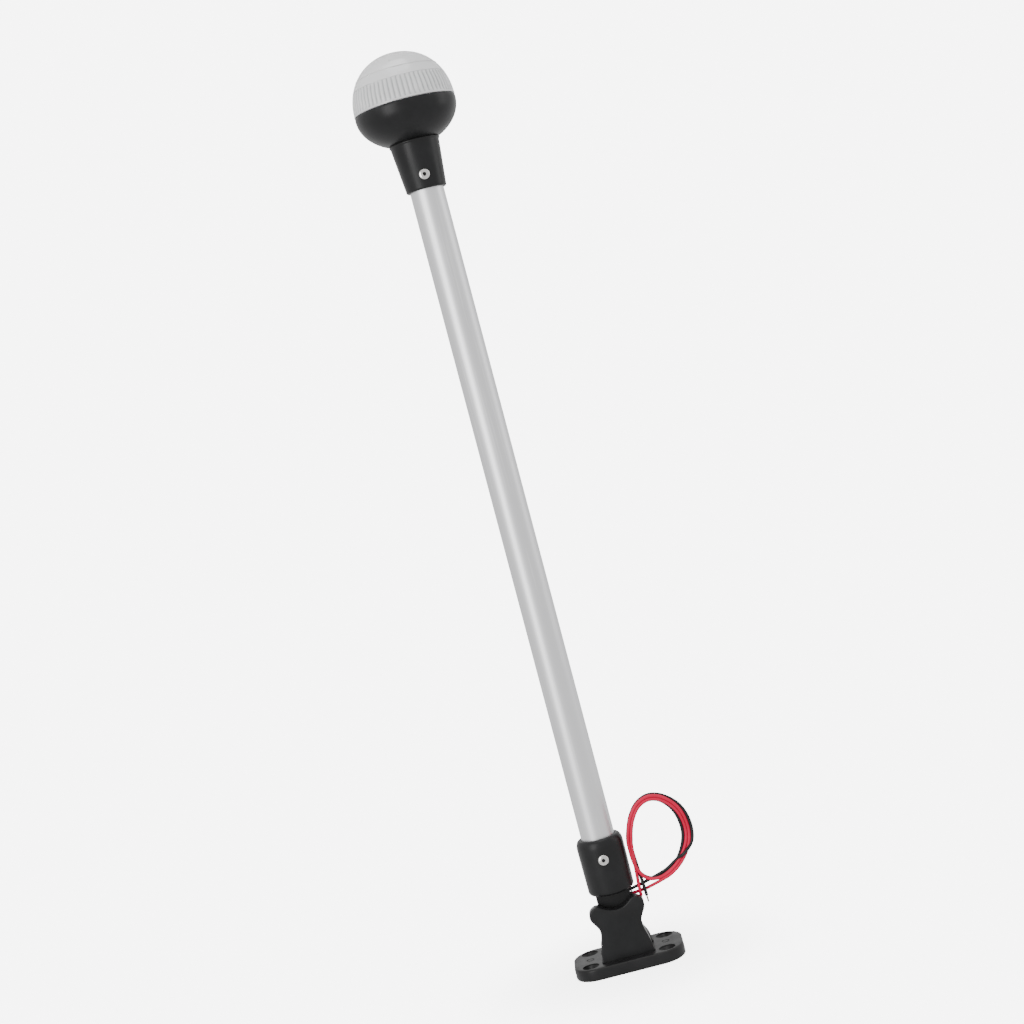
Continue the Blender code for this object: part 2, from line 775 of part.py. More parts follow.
def lower_rivet_bore():
    return bar(
        "lower_rivet_bore",
        RIVET_SHANK_DIAMETER / 2 + FIT,
        (0, 0, LOWER_RIVET_HEIGHT),
        (0, -COLLAR_DIAMETER, LOWER_RIVET_HEIGHT),
    )


def make_lower_collar():
    foot, body = COLLAR_FOOT_DIAMETER / 2, COLLAR_DIAMETER / 2
    heel = (foot - COLLAR_FOOT_ROUND, COLLAR_FOOT + COLLAR_FOOT_ROUND)
    bore = TUBE_RADIUS + FIT
    throat = PLUG_RADIUS + FIT
    inner_floor = COLLAR_FOOT + COLLAR_FLANGE
    top = COLLAR_TOP
    shoulder = top - COLLAR_SHOULDER_DROP
    profile = [
        (bore, top),
        (COLLAR_SHOULDER_RADIUS, top),
        *rounded_shoulder(COLLAR_SHOULDER_RADIUS, top, body, shoulder, 6),
        (body, shoulder - 1 * MM),
        *arc(heel, COLLAR_FOOT_ROUND, 0, -90, 5),
        (throat, COLLAR_FOOT),
        (throat, inner_floor),
        (bore, inner_floor),
    ]
    collar = turned("lower_collar", profile, charcoal_plastic)
    return cut(collar, lower_rivet_bore())


def rounded_shoulder(inner, top, outer, bottom, steps):
    """A slope that starts flat at the top and turns upright at the side."""
    found = []
    for i in range(1, steps + 1):
        angle = pi / 2 * i / steps
        found.append((inner + (outer - inner) * sin(angle), bottom + (top - bottom) * cos(angle)))
    return found


def make_pole_tube():
    profile = [
        (TUBE_RADIUS, TUBE_TOP),
        (TUBE_RADIUS, TUBE_FOOT),
        (TUBE_BORE, TUBE_FOOT),
        (TUBE_BORE, TUBE_TOP),
    ]
    tube = turned("pole_tube", profile, satin_aluminium)
    return cut(tube, lower_rivet_bore(), upper_rivet_bore())


# Rivets


def rivet_direction(turn):
    """Outwards, turned this many degrees from the front towards +X."""
    angle = radians(turn)
    return Vector((sin(angle), -cos(angle), 0.0))


def upper_rivet_bore():
    out = rivet_direction(UPPER_RIVET_TURN)
    height = Vector((0, 0, UPPER_RIVET_HEIGHT))
    radius = RIVET_SHANK_DIAMETER / 2 + FIT
    return bar("upper_rivet_bore", radius, height, height + out * 2 * SOCKET_TOP_RADIUS)


def make_rivet(name, turn, height, seat, depth):
    """A blind rivet whose head stands on the radius seat and whose shank goes in by depth."""
    head, shank, eye = RIVET_HEAD_DIAMETER / 2, RIVET_SHANK_DIAMETER / 2, RIVET_EYE_DIAMETER / 2
    dome = [
        (head * sin(pi / 2 * i / 5), RIVET_HEAD_HEIGHT * (0.3 + 0.7 * cos(pi / 2 * i / 5)))
        for i in range(2, 6)
    ]
    profile = [
        (0.0, RIVET_HEAD_HEIGHT * 0.45),
        (eye, RIVET_HEAD_HEIGHT * 0.45),
        (eye, RIVET_HEAD_HEIGHT * 0.96),
        *dome,
        (head, 0.0),
        (shank, 0.0),
        (shank, -depth),
        (0.0, -depth),
    ]
    rivet = turned(name, profile, bright_steel, closed=False, steps=24)
    out = rivet_direction(turn)
    rivet.location = out * seat + Vector((0, 0, height))
    rivet.rotation_euler = Vector((0, 0, 1)).rotation_difference(out).to_euler()
    return rivet


def make_lower_rivet():
    seat = COLLAR_DIAMETER / 2 + FIT
    depth = seat - SPRING_POCKET_RADIUS - FIT
    return make_rivet("lower_rivet", 0.0, LOWER_RIVET_HEIGHT, seat, depth)


def make_upper_rivet():
    seat = socket_radius(UPPER_RIVET_HEIGHT + RIVET_HEAD_DIAMETER / 2) + FIT
    depth = seat - TUBE_BORE + 1.5 * MM
    return make_rivet("upper_rivet", UPPER_RIVET_TURN, UPPER_RIVET_HEIGHT, seat, depth)


# Head


def bowl_height(radius):
    """The height of the bowl's outside at this radius."""
    return BOWL_MIDDLE - BOWL_DEPTH * sqrt(1 - (radius / BOWL_RADIUS) ** 2)


def bowl_inside(radius):
    return BOWL_MIDDLE - BOWL_INNER_DEPTH * sqrt(1 - (radius / BOWL_INNER_RADIUS) ** 2)


def socket_radius(height):
    top = bowl_height(SOCKET_TOP_RADIUS)
    foot = SOCKET_FOOT + SOCKET_FOOT_ROUND
    share = (height - foot) / (top - foot)
    return SOCKET_FOOT_RADIUS + (SOCKET_TOP_RADIUS - SOCKET_FOOT_RADIUS) * share


def ellipse(radius, depth, start, end, steps):
    """The lower half of an ellipse about the bowl's middle, between two radii."""
    first, last = asin_of(start / radius), asin_of(end / radius)
    found = []
    for i in range(steps + 1):
        angle = first + (last - first) * i / steps
        found.append((radius * sin(angle), BOWL_MIDDLE - depth * cos(angle)))
    return found


def asin_of(share):
    return atan2(share, sqrt(1 - share * share))


def make_head_housing():
    hole = LEAD_HALF_SPACING + LEAD_RADIUS + SLIP + GROMMET_WALL * 0.7 + FIT
    seat_angle = asin_of((BOWL_MIDDLE - SEAT_HEIGHT) / BOWL_INNER_DEPTH)
    seat_inner = BOWL_INNER_RADIUS * cos(seat_angle)
    bore = TUBE_RADIUS + FIT
    foot = (SOCKET_FOOT_RADIUS - SOCKET_FOOT_ROUND, SOCKET_FOOT + SOCKET_FOOT_ROUND)
    profile = [
        (RIM_RADIUS, RIM_HEIGHT),
        *ellipse(BOWL_RADIUS, BOWL_DEPTH, BOWL_RADIUS * 0.9999, SOCKET_TOP_RADIUS, 9),
        *arc(foot, SOCKET_FOOT_ROUND, 0, -90, 3),
        (bore, SOCKET_FOOT),
        (bore, FLOOR_UNDERSIDE),
        (hole, FLOOR_UNDERSIDE),
        *ellipse(BOWL_INNER_RADIUS, BOWL_INNER_DEPTH, hole, seat_inner, 7),
        (SEAT_RADIUS, SEAT_HEIGHT),
        (SEAT_RADIUS, RIM_HEIGHT),
    ]
    housing = turned("head_housing", profile, charcoal_plastic)
    for number, (x, y) in enumerate(board_screw_places(), 1):
        low = bowl_inside(POST_CIRCLE) - 1 * MM
        post = bar(f"board_post_{number}", POST_RADIUS, (x, y, low), (x, y, POST_TOP), steps=16)
        join(housing, post)
        pilot = bar(
            f"post_pilot_{number}",
            BOARD_SCREW_DIAMETER / 2 + FIT,
            (x, y, POST_TOP - BOARD_SCREW_LENGTH),
            (x, y, POST_TOP + 1 * MM),
            steps=12,
        )
        cut(housing, pilot)
    return cut(housing, upper_rivet_bore())


def make_lens_seal():
    outer, inner = SKIRT_RADIUS, SKIRT_RADIUS - LENS_SKIRT_WALL + 0.3 * MM
    low = SEAT_HEIGHT + FIT
    high = low + SEAL_THICKNESS
    profile = [(outer, high), (outer, low), (inner, low), (inner, high)]
    return turned("lens_seal", profile, black_rubber)


def dome(radius, height, foot, steps):
    """A dome's profile from its middle down to its foot."""
    power = 2 / DOME_FULLNESS
    found = []
    for i in range(steps + 1):
        angle = pi / 2 * i / steps
        found.append((radius * sin(angle) ** power, foot + height * cos(angle) ** power))
    return found


def make_globe_lens():
    foot = LENS_FOOT + FIT
    outside = dome(DOME_RADIUS, DOME_HEIGHT, foot, 11)
    inner_radius, inner_height = DOME_RADIUS - LENS_WALL, DOME_HEIGHT - LENS_WALL
    inside = dome(inner_radius, inner_height, foot, 8)
    skirt_inner = SKIRT_RADIUS - LENS_SKIRT_WALL
    profile = [
        *outside[:-1],
        (DOME_RADIUS, foot),
        (DOME_RADIUS, LENS_FOOT),
        (SKIRT_RADIUS, LENS_FOOT),
        (SKIRT_RADIUS, SKIRT_FOOT),
        (skirt_inner, SKIRT_FOOT),
        (skirt_inner, foot),
        *reversed(inside[:-1]),
    ]
    profile = [(max(r, 0.0), z) for r, z in profile]
    return turned("globe_lens", profile, frosted_clear, closed=False)


# Lamp


def board_screw_places():
    angles = [radians(30 + 360 * i / BOARD_SCREW_COUNT) for i in range(BOARD_SCREW_COUNT)]
    return [(POST_CIRCLE * cos(a), POST_CIRCLE * sin(a)) for a in angles]


def make_led_board():
    board = bar(
        "led_board",
        BOARD_RADIUS,
        (0, 0, BOARD_UNDERSIDE),
        (0, 0, BOARD_TOP),
        white_plastic,
        40,
    )
    for number, (x, y) in enumerate(board_screw_places(), 1):
        hole = bar(
            f"board_hole_{number}",
            BOARD_SCREW_DIAMETER / 2 + FIT,
            (x, y, BOARD_UNDERSIDE - 1 * MM),
            (x, y, BOARD_TOP + 1 * MM),
            steps=12,
        )
        cut(board, hole)
    return board


def make_board_screw(number, x, y):
    head, shank = BOARD_SCREW_HEAD / 2, BOARD_SCREW_DIAMETER / 2
    under = BOARD_TOP + FIT
    top = under + 1.4 * MM
    end = POST_TOP - BOARD_SCREW_LENGTH + FIT
    profile = [
        (0.0, top),
        (head - 0.7 * MM, top),
        (head, top - 0.7 * MM),
        (head, under),
        (shank, under),
        (shank, end),
        (0.0, end),
    ]
    screw = turned(f"board_screw_{number}", profile, bright_steel, closed=False, steps=12)
    screw.location = (x, y, 0.0)
    return screw


def make_led_tower():
    foot, top = (0, 0, TOWER_FOOT), (0, 0, TOWER_TOP)
    return bar("led_tower", TOWER_RADIUS, foot, top, white_plastic, LED_COUNT)


def make_led(number):
    """One square emitter, flat against one side of the tower."""
    near = across_square(TOWER_RADIUS, LED_COUNT) + FIT
    low = (near, -LED_SIZE / 2, TOWER_FOOT + LED_RISE - LED_SIZE / 2)
    high = (near + LED_THICKNESS, LED_SIZE / 2, TOWER_FOOT + LED_RISE + LED_SIZE / 2)
    led = block(f"led_{number}", low, high, white_plastic)
    led.rotation_euler = (0.0, 0.0, 2 * pi * (number - 0.5) / LED_COUNT + pi / 2)
    return led


def make_reflector_cap():
    foot = TOWER_TOP + FIT
    top = foot + CAP_THICKNESS
    profile = [
        (0.0, top),
        (CAP_RADIUS - 2 * MM, top),
        (CAP_RADIUS, top - 0.8 * MM),
        (CAP_RADIUS, top - 1.4 * MM),
        (TOWER_RADIUS, foot),
        (0.0, foot),
    ]
    return turned("reflector_cap", profile, white_plastic, closed=False, steps=36)


# Leads


def make_head_grommet():
    inner = LEAD_HALF_SPACING + LEAD_RADIUS + SLIP
    outer = inner + GROMMET_WALL * 0.7
    flange = outer + 1.4 * MM
    foot = FLOOR_UNDERSIDE
    step = bowl_inside(flange) + FIT
    top = step + 1 * MM
    profile = [(flange, top), (flange, step), (outer, step), (outer, foot), (inner, foot), (inner, top)]
    return turned("lead_grommet", profile, black_rubber, steps=24)


def make_exit_grommet():
    """A rubber plate on the tang's side, with one mouth for both leads."""
    edge = GROMMET_WALL
    near = TANG_FACE + FIT
    mouth = LEAD_RADIUS + SLIP
    plate = block(
        "exit_grommet",
        (near, -mouth - edge, EXIT_FOOT - edge),
        (GROMMET_FACE, mouth + edge, min(EXIT_TOP + edge, SHOULDER)),
        black_rubber,
    )
    opening = block(
        "exit_mouth",
        (near - 1 * MM, -mouth, EXIT_FOOT),
        (GROMMET_FACE + 1 * MM, mouth, EXIT_TOP),
    )
    return cut(plate, opening)


def lead_route(side, exit_height):
    """From the board down the pole and out towards the tang's side; side is +1 or -1."""
    y = side * LEAD_HALF_SPACING
    start = POST_TOP
    turn = SHOULDER - exit_height
    upper = [(0.0, y, start), (0.0, y, TUBE_TOP - 4 * MM)]
    swing = [
        (0.2 * LEAD_OFFSET, y, TUBE_TOP - 14 * MM),
        (0.8 * LEAD_OFFSET, y, TUBE_TOP - 34 * MM),
    ]
    lower = [(LEAD_OFFSET, y, TUBE_TOP - 44 * MM), (LEAD_OFFSET, y, SHOULDER + 2 * MM)]
    bend = [
        (LEAD_OFFSET, y, SHOULDER - turn * 0.3),
        (LEAD_OFFSET + 0.5 * MM, y * 0.8, exit_height + 0.9 * MM),
        (LEAD_OFFSET + 1.5 * MM, y * 0.4, exit_height + 0.2 * MM),
        (LEAD_END, 0.0, exit_height),
    ]
    return [*upper, *swing, *lower, *bend]


def make_leads():
    red = tube_along("red_lead", lead_route(-1, RED_EXIT), LEAD_RADIUS, red_sheath)
    black = tube_along("black_lead", lead_route(1, BLACK_EXIT), LEAD_RADIUS, black_sheath)
    return [red, black]


def bare_end(name, tail):
    """The stripped core past the end of a tail, straight on from it."""
    before, end = [Vector(point) for point in beside_collar(tail[-2:])]
    along = (end - before).normalized()
    start = end + along * FIT
    return bar(name, CORE_DIAMETER / 2, start, start + along * 5 * MM, tinned_copper, 10)


def make_free_wires():
    """The loose ends beside the collar: out to the loop, the loop itself, and the tails."""
    thinnest = min(point[3] for point in LOOP)
    middles = beside_collar([point[:3] for point in LOOP])
    loop = [(*middle, point[3] / thinnest) for middle, point in zip(middles, LOOP)]
    return [
        tube_along("red_wire_out", beside_collar(RED_OUT), LEAD_RADIUS, red_sheath),
        tube_along("black_wire_out", beside_collar(BLACK_OUT), LEAD_RADIUS, black_sheath),
        tube_along("wire_loop", loop, thinnest * MM, red_sheath, cyclic=True, sides=3),
        tube_along("red_wire_tail", beside_collar(RED_TAIL), LEAD_RADIUS, red_sheath),
        tube_along("black_wire_tail", beside_collar(BLACK_TAIL), LEAD_RADIUS, black_sheath),
        bare_end("red_wire_end", RED_TAIL),
        bare_end("black_wire_end", BLACK_TAIL),
    ]


# Assembly


def axis_empty(name, place_at, parent=None):
    empty = bpy.data.objects.new(name, None)
    empty.empty_display_size = 0.02
    PARTS.objects.link(empty)
    hold(empty, parent, Matrix.Translation(place_at))
    return empty


def hold(child, parent, world=None):
    """Parents a piece to an axis and leaves it where it is."""
    world = child.matrix_basis.copy() if world is None else world
    above = Matrix.Identity(4) if parent is None else frame_of(parent)
    child.parent = parent
    child.matrix_basis = above.inverted() @ world


def frame_of(empty):
    if empty.parent is None:
        return empty.matrix_basis.copy()
    return frame_of(empty.parent) @ empty.matrix_basis


def build():
    fixed = [
        make_base_bracket(),
        make_hinge_pin(),
        make_washer("front_washer", -SLOT_HALF + FIT),
        make_washer("rear_washer", TANG_THICKNESS / 2 + FIT),
    ]
    folding = [make_eye_bolt(), make_bolt_washer(), make_bolt_nut(), make_lift_spring()]
    lifting = [
        make_tang(),
        make_lower_collar(),
        make_lower_rivet(),
        make_pole_tube(),
        make_head_housing(),
        make_upper_rivet(),
        make_lens_seal(),
        make_globe_lens(),
        make_led_board(),
        make_led_tower(),
        make_reflector_cap(),
        make_head_grommet(),
        make_exit_grommet(),
    ]
    lifting += [make_led(number) for number in range(1, LED_COUNT + 1)]
    lifting += [make_board_screw(n, x, y) for n, (x, y) in enumerate(board_screw_places(), 1)]
    lifting += [*make_leads(), *make_free_wires()]
    fold_axis = axis_empty("fold_axis", (0, 0, PIVOT_HEIGHT))
    lift_axis = axis_empty("lift_axis", (0, 0, PIVOT_HEIGHT), fold_axis)
    for piece in folding:
        hold(piece, fold_axis)
    for piece in lifting:
        hold(piece, lift_axis)
    return [*fixed, *folding, *lifting]


build()
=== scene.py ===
"""The all-round light on its fold-down pole: finishes, fine shapes, wires, camera and light."""
from math import asin, cos, hypot, pi, radians, sin, sqrt

import bmesh
import bpy
from mathutils import Matrix, Vector


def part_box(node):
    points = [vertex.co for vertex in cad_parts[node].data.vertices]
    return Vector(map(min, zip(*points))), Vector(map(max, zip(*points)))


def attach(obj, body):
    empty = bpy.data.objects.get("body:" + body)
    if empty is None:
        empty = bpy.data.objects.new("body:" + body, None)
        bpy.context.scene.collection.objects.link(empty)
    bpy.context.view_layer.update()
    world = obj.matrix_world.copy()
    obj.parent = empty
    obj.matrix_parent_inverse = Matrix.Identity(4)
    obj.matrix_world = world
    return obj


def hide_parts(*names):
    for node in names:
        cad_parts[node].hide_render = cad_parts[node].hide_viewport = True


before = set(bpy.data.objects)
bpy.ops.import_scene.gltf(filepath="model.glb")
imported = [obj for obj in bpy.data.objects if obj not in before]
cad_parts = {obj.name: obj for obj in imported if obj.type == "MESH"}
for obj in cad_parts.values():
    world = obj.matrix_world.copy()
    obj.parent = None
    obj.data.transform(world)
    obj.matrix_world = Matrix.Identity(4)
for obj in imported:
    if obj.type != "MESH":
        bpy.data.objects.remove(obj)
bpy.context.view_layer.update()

MM = 0.001
LEAD = 2.2 * MM  # over the sheath of one wire
STRAND_PITCH = 2.12  # millimetres between neighbouring wires in the loop
LIFT = "pole"

# The camera stands almost straight in front and a little above the middle of the pole
AIM_HEIGHT = 0.3057
CAMERA_HEIGHT = 0.369
CAMERA_DISTANCE = 1.27
CAMERA_TURN = -1.5  # degrees towards -X
POLE_LEAN = 14.82  # degrees the pole leans left in the view
FRAME_WIDTH = 0.6636  # metres across the view at the pole
SENSOR = 36.0

# The wires' routes in millimetres, as the model has them
RED_OUT = [
    (11.1, 0.0, 44.3), (13.5, 0.0, 44.3), (16.0, 0.0, 44.4),
    (18.5, -0.2, 44.7), (21.0, -0.6, 45.1), (23.5, -1.1, 45.6),
]
BLACK_OUT = [
    (11.1, 0.0, 47.1), (13.0, 0.0, 47.3), (15.0, 0.0, 47.8),
    (17.0, -0.2, 48.3), (19.0, -0.5, 48.7),
]
RED_TAIL = [(18.1, -3.6, 52.6), (17.9, -3.6, 49.0), (17.7, -3.5, 45.4), (17.6, -3.4, 41.9)]
BLACK_TAIL = [(20.9, -3.6, 47.9), (21.1, -3.6, 44.6), (21.2, -3.5, 41.3)]
LOOP = [
    (37.3, -4.0, 103.4, 3.1), (44.7, -3.6, 101.8, 3.2), (51.3, -3.2, 96.4, 3.6),
    (55.3, -3.0, 90.0, 4.2), (57.2, -3.0, 82.8, 4.8), (57.3, -3.0, 75.4, 4.9),
    (55.6, -3.0, 68.9, 4.5), (52.2, -3.0, 62.8, 3.9), (46.8, -3.0, 56.8, 3.4),
    (40.0, -3.0, 52.2, 3.1), (33.4, -3.1, 49.9, 2.9), (27.6, -3.4, 50.0, 2.8),
    (22.9, -3.7, 52.7, 2.8), (19.8, -4.0, 58.1, 2.7), (18.5, -4.2, 65.1, 2.7),
    (18.5, -4.3, 72.2, 2.7), (19.4, -4.3, 79.2, 2.8), (21.4, -4.2, 86.4, 2.8),
    (24.6, -4.1, 93.6, 2.9), (30.0, -4.1, 100.3, 3.0),
]
LOOP_MIDDLE = (38.0, 75.0)
CROSS_HIGH, CROSS_LOW = 5.6, 3.0  # where the black wire crosses, and over how many points
NARROW, WIDE = 2.7, 4.8  # the bundle's half width where it is two wires across, and four


# Camera


def make_camera():
    turn = radians(CAMERA_TURN)
    eye = Vector((-CAMERA_DISTANCE * sin(turn), -CAMERA_DISTANCE * cos(turn), CAMERA_HEIGHT))
    ahead = (Vector((0, 0, AIM_HEIGHT)) - eye)
    distance = ahead.length
    ahead.normalize()
    level = ahead.cross(Vector((0, 0, 1))).normalized()
    above = level.cross(ahead)
    lean = radians(POLE_LEAN)
    up = above * cos(lean) + level * sin(lean)
    right = level * cos(lean) - above * sin(lean)
    data = bpy.data.cameras.new("view")
    data.sensor_width = SENSOR
    data.lens = SENSOR * distance / FRAME_WIDTH
    camera = bpy.data.objects.new("view", data)
    turned_to = Matrix((right, up, -ahead)).transposed().to_4x4()
    camera.matrix_world = Matrix.Translation(eye) @ turned_to
    bpy.context.scene.collection.objects.link(camera)
    bpy.context.scene.camera = camera


make_camera()


# Mesh tools


def place(name, mesh, body, finish, *stands_for):
    made = bpy.data.objects.new(name, mesh)
    bpy.context.scene.collection.objects.link(made)
    mesh.materials.append(finish)
    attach(made, body)
    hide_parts(*stands_for)
    return made


def smooth_mesh(name, bm, crease=32.0):
    mesh = bpy.data.meshes.new(name)
    bm.to_mesh(mesh)
    bm.free()
    mesh.shade_smooth()
    mesh.set_sharp_from_angle(angle=radians(crease))
    return mesh


def arc(middle, radius, start, end, steps):
    across, up = middle
    angles = [radians(start + (end - start) * i / steps) for i in range(steps + 1)]
    return [(across + radius * cos(a), up + radius * sin(a)) for a in angles]


def spun(name, profile, steps=144, swell=None, crease=32.0):
    """A turned mesh in millimetres from a closed profile, outer side from top to bottom.

    swell(radius, height, angle) may add to the radius.
    """
    bm = bmesh.new()
    rings = []
    for radius, height in profile:
        if radius < 1e-6:
            rings.append([bm.verts.new((0, 0, height * MM))])
            continue
        ring = []
        for i in range(steps):
            angle = 2 * pi * i / steps
            reach = (radius + (swell(radius, height, angle) if swell else 0.0)) * MM
            ring.append(bm.verts.new((reach * cos(angle), reach * sin(angle), height * MM)))
        rings.append(ring)
    pairs = list(zip(rings, rings[1:]))
    if len(rings[0]) > 1:
        pairs.append((rings[-1], rings[0]))
    for upper, lower in pairs:
        for i in range(steps):
            j = (i + 1) % steps
            corners = [upper[i % len(upper)], lower[i % len(lower)]]
            corners += [lower[j % len(lower)], upper[j % len(upper)]]
            face = list(dict.fromkeys(corners))
            if len(face) > 2:
                bm.faces.new(face)
    return smooth_mesh(name, bm, crease)


def slab_object(name, outline, low, high, upright=True):
    """A flat outline in millimetres made thick along Y, or along Z where it lies flat."""
    bm = bmesh.new()
    if upright:
        points = [bm.verts.new((x * MM, low * MM, z * MM)) for x, z in outline]
        push = Vector((0, (high - low) * MM, 0))
    else:
        points = [bm.verts.new((x * MM, y * MM, low * MM)) for x, y in outline]
        push = Vector((0, 0, (high - low) * MM))
    face = bm.faces.new(points)
    grown = bmesh.ops.extrude_face_region(bm, geom=[face])
    bmesh.ops.translate(bm, vec=push, verts=[v for v in grown["geom"] if isinstance(v, bmesh.types.BMVert)])
    bmesh.ops.recalc_face_normals(bm, faces=bm.faces)
    mesh = bpy.data.meshes.new(name)
    bm.to_mesh(mesh)
    bm.free()
    made = bpy.data.objects.new(name, mesh)
    bpy.context.scene.collection.objects.link(made)
    return made


def bevelled(part, width, segments=4, angle=40.0):
    bevel = part.modifiers.new("edges", "BEVEL")
    bevel.width = width * MM
    bevel.segments = segments
    bevel.limit_method = "ANGLE"
    bevel.angle_limit = radians(angle)
    return part


def merged(part, others, operation):
    """Joins or cuts with the others, keeps the result as plain mesh and drops them."""
    for other in others:
        modifier = part.modifiers.new(other.name, "BOOLEAN")
        modifier.operation = operation
        modifier.object = other
    bpy.context.view_layer.update()
    done = bpy.data.meshes.new_from_object(part.evaluated_get(bpy.context.evaluated_depsgraph_get()))
    part.modifiers.clear()
    part.data = done
    for other in others:
        bpy.data.objects.remove(other, do_unlink=True)
    return part


# Shader groups


def node(tree, kind, **settings):
    made = tree.nodes.new(kind)
    for key, value in settings.items():
        if key in made.inputs:
            made.inputs[key].default_value = value
        else:
            setattr(made, key, value)
    return made


def group(name, inputs, outputs):
    tree = bpy.data.node_groups.new(name, "ShaderNodeTree")
    for label, kind, value in inputs:
        socket = tree.interface.new_socket(label, in_out="INPUT", socket_type=kind)
        socket.default_value = value
    for label, kind in outputs:
        tree.interface.new_socket(label, in_out="OUTPUT", socket_type=kind)
    return tree, tree.nodes.new("NodeGroupInput"), tree.nodes.new("NodeGroupOutput")


def moulded_grain():
    """Fine moulding texture with soft rubbed patches: height, and a patch mask."""
    sockets = [("Grain Scale", "NodeSocketFloat", 2600.0), ("Patch Scale", "NodeSocketFloat", 60.0)]
    tree, start, end = group(
        "moulded_grain", sockets, [("Height", "NodeSocketFloat"), ("Patches", "NodeSocketFloat")]
    )
    place_at = node(tree, "ShaderNodeTexCoord")
    fine = node(tree, "ShaderNodeTexNoise", Detail=3.0, Roughness=0.6)
    broad = node(tree, "ShaderNodeTexNoise", Detail=5.0, Roughness=0.62)
    ramp = node(tree, "ShaderNodeMapRange", **{"From Min": 0.38, "From Max": 0.68})
    for texture, label in ((fine, "Grain Scale"), (broad, "Patch Scale")):
        tree.links.new(place_at.outputs["Object"], texture.inputs["Vector"])
        tree.links.new(start.outputs[label], texture.inputs["Scale"])
    tree.links.new(fine.outputs["Fac"], end.inputs["Height"])
    tree.links.new(broad.outputs["Fac"], ramp.inputs["Value"])
    tree.links.new(ramp.outputs["Result"], end.inputs["Patches"])
    return tree


def fine_scratches():
    """Thin stretched marks along one direction of the piece: height and a mask."""
    sockets = [("Stretch", "NodeSocketVector", (900.0, 900.0, 9.0)), ("Rare", "NodeSocketFloat", 0.62)]
    tree, start, end = group(
        "fine_scratches", sockets, [("Height", "NodeSocketFloat"), ("Marks", "NodeSocketFloat")]
    )
    place_at = node(tree, "ShaderNodeTexCoord")
    scale = node(tree, "ShaderNodeVectorMath", operation="MULTIPLY")
    streaks = node(tree, "ShaderNodeTexNoise", Scale=1.0, Detail=4.0, Roughness=0.55)
    limit = node(tree, "ShaderNodeMath", operation="GREATER_THAN")
    tree.links.new(place_at.outputs["Object"], scale.inputs[0])
    tree.links.new(start.outputs["Stretch"], scale.inputs[1])
    tree.links.new(scale.outputs["Vector"], streaks.inputs["Vector"])
    tree.links.new(streaks.outputs["Fac"], limit.inputs[0])
    tree.links.new(start.outputs["Rare"], limit.inputs[1])
    tree.links.new(streaks.outputs["Fac"], end.inputs["Height"])
    tree.links.new(limit.outputs["Value"], end.inputs["Marks"])
    return tree


GRAIN = moulded_grain()
SCRATCHES = fine_scratches()


def finish(name, pattern, dark, light, smooth, rough, bump, depth, settings=(), constants=()):
    """A material whose colour and roughness wander between two values with a pattern's mask."""
    made = bpy.data.materials.new(name)
    made.use_nodes = True
    tree = made.node_tree
    shader = tree.nodes["Principled BSDF"]
    for label, value in constants:
        shader.inputs[label].default_value = value
    effect = node(tree, "ShaderNodeGroup", node_tree=pattern)
    for label, value in settings:
        effect.inputs[label].default_value = value
    mask = effect.outputs[1]
    colour = node(tree, "ShaderNodeMix", data_type="RGBA")
    colour.inputs[6].default_value = (*dark, 1)
    colour.inputs[7].default_value = (*light, 1)
    tree.links.new(mask, colour.inputs["Factor"])
    tree.links.new(colour.outputs[2], shader.inputs["Base Color"])
    gloss = node(tree, "ShaderNodeMapRange", **{"To Min": smooth, "To Max": rough})
    tree.links.new(mask, gloss.inputs["Value"])
    tree.links.new(gloss.outputs["Result"], shader.inputs["Roughness"])
    relief = node(tree, "ShaderNodeBump", Strength=bump, Distance=depth)
    tree.links.new(effect.outputs["Height"], relief.inputs["Height"])
    tree.links.new(relief.outputs["Normal"], shader.inputs["Normal"])
    return made


def plastic(name, dark, light, smooth=0.36, rough=0.5, grain=2200.0, specular=0.5):
    settings = [("Grain Scale", grain), ("Patch Scale", 55.0)]
    constants = [("IOR", 1.5), ("Specular IOR Level", specular)]
    return finish(name, GRAIN, dark, light, smooth, rough, 0.25, 0.00008, settings, constants)


def metal(name, dark, light, smooth, rough, stretch=(900.0, 900.0, 9.0)):
    settings = [("Stretch", stretch)]
    return finish(name, SCRATCHES, dark, light, smooth, rough, 0.12, 0.00004, settings, [("Metallic", 1.0)])


CHARCOAL = plastic(
    "charcoal_plastic", (0.0085, 0.0085, 0.009), (0.013, 0.013, 0.0138), 0.3, 0.42, 2200.0, 0.22
)
# The tang's plastic: rougher than the charcoal plastic, and its darker colour is painted shade, since the
# tang sits down in the slot between the cheeks.
SHADED = plastic("tang_plastic", (0.007, 0.007, 0.0075), (0.012, 0.012, 0.0125), 0.42, 0.58, 2200.0, 0.3)
ANODISED = metal("satin_aluminium", (0.74, 0.74, 0.75), (0.82, 0.82, 0.83), 0.42, 0.49)
STEEL = metal("plain_steel", (0.5, 0.49, 0.47), (0.64, 0.63, 0.61), 0.2, 0.34, (400.0, 400.0, 400.0))
RIVET = metal("rivet_metal", (0.66, 0.65, 0.63), (0.8, 0.79, 0.77), 0.2, 0.32, (500.0, 500.0, 500.0))
NYLON = plastic("washer_nylon", (0.7, 0.7, 0.67), (0.78, 0.78, 0.75), 0.4, 0.5)
RUBBER = plastic("seal_rubber", (0.012, 0.012, 0.012), (0.022, 0.022, 0.022), 0.6, 0.75)
BOARD = plastic("board_mask", (0.72, 0.73, 0.72), (0.8, 0.8, 0.79), 0.3, 0.42)
TOWER = plastic("tower_plastic", (0.76, 0.76, 0.75), (0.84, 0.84, 0.83), 0.28, 0.4)
EMITTER = plastic("led_emitter", (0.8, 0.7, 0.3), (0.86, 0.78, 0.4), 0.2, 0.3)
RED = plastic("red_sheath", (0.55, 0.003, 0.04), (0.66, 0.006, 0.06), 0.34, 0.46, 1500.0, 0.25)
